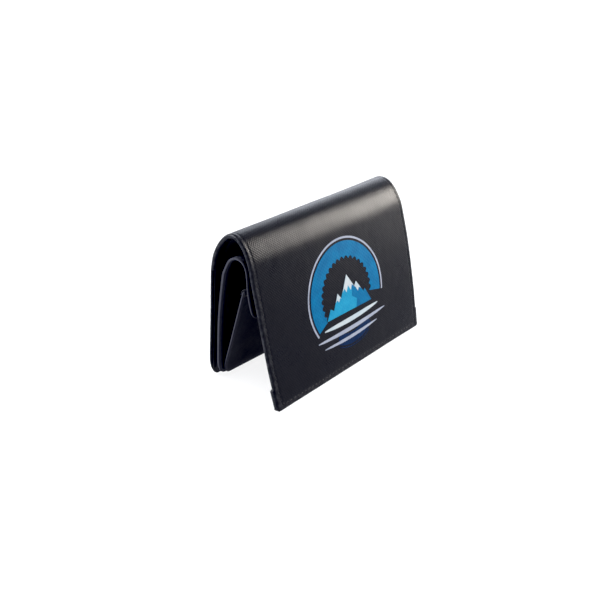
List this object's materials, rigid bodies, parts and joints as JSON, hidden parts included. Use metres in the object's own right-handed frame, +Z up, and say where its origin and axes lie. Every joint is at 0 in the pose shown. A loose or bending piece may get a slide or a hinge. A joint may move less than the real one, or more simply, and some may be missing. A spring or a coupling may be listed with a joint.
{
  "type": "bifold wallet",
  "caption": "Top-fold bifold wallet with a rolled spine, a front flap with card slots, a banknote pocket with bellows sides and a coin pocket with a press-stud flap.",
  "frame": {"origin": "centre of the footprint, on the surface the wallet stands on like a tent", "axes": "+X along the fold, towards the wallet's right seen from the front flap; +Y from the front flap towards the back; +Z up"},
  "size_m": [0.12, 0.0474, 0.0837],
  "materials": {
    "tarpaulin": "black coated tarpaulin, fine scrim weave under a semi-gloss PVC skin",
    "panel_tarpaulin": "black coated tarpaulin, satin",
    "slot_tarpaulin": "thin black coated tarpaulin, satin",
    "lining_cloth": "black woven lining, matt",
    "thread": "dark grey sewing thread",
    "press_stud_metal": "dark plated press stud"
  },
  "bodies": {
    "back": {"cover_back_panel": "tarpaulin", "bill_pocket_floor": "lining_cloth", "bill_gusset_left": "lining_cloth", "bill_gusset_right": "lining_cloth"},
    "spine": {"cover_spine": "tarpaulin", "spine_lining": "lining_cloth", "spine_seam_thread_left": "thread", "spine_seam_thread_right": "thread"},
    "front_flap": {"cover_front_panel": "tarpaulin", "flap_lining": "lining_cloth", "card_slot_rear": "slot_tarpaulin", "card_slot_middle": "slot_tarpaulin", "card_slot_front": "slot_tarpaulin", "card_slot_seam_thread": "thread", "flap_seam_thread": "thread"},
    "inner": {"inner_panel": "panel_tarpaulin", "coin_flap_root": "panel_tarpaulin", "coin_gusset_left": "lining_cloth", "coin_gusset_right": "lining_cloth"},
    "coin_front": {"coin_front_panel": "panel_tarpaulin", "coin_mouth_tape": "lining_cloth", "snap_stud": "press_stud_metal", "snap_rivet": "press_stud_metal"},
    "coin_flap": {"coin_flap": "panel_tarpaulin", "coin_flap_seam_thread": "thread", "snap_cap": "press_stud_metal", "snap_socket": "press_stud_metal"}
  },
  "joints": [
    {"name": "cover_fold_rear", "type": "hinge", "parent": "back", "child": "spine", "pos_m": [0, 0.0136, 0.074], "axis": [-1, 0, 0], "range_deg": [-1.5, 82]},
    {"name": "cover_fold_front", "type": "hinge", "parent": "spine", "child": "front_flap", "pos_m": [0, -0.0053, 0.0783], "axis": [-1, 0, 0], "range_deg": [-1.5, 82]},
    {"name": "bill_pocket", "type": "hinge", "parent": "back", "child": "inner", "pos_m": [0, 0.0184, 0.0026], "axis": [1, 0, 0], "range_deg": [-5, 1.5], "deforming": ["bill_gusset_left", "bill_gusset_right"]},
    {"name": "coin_pocket", "type": "hinge", "parent": "inner", "child": "coin_front", "pos_m": [0, 0.01685, 0.0026], "axis": [1, 0, 0], "range_deg": [-10.5, 1.5], "deforming": ["coin_gusset_left", "coin_gusset_right"]},
    {"name": "coin_flap_fold", "type": "hinge", "parent": "inner", "child": "coin_flap", "pos_m": [0, 0.002, 0.0712], "axis": [-1, 0, 0], "range_deg": [-1.65, 90.2]}
  ],
  "couplings": [
    {"joint": "cover_fold_front", "follows": "cover_fold_rear", "ratio": 1},
    {"joint": "coin_flap_fold", "follows": "cover_fold_rear", "ratio": 1.1}
  ]
}
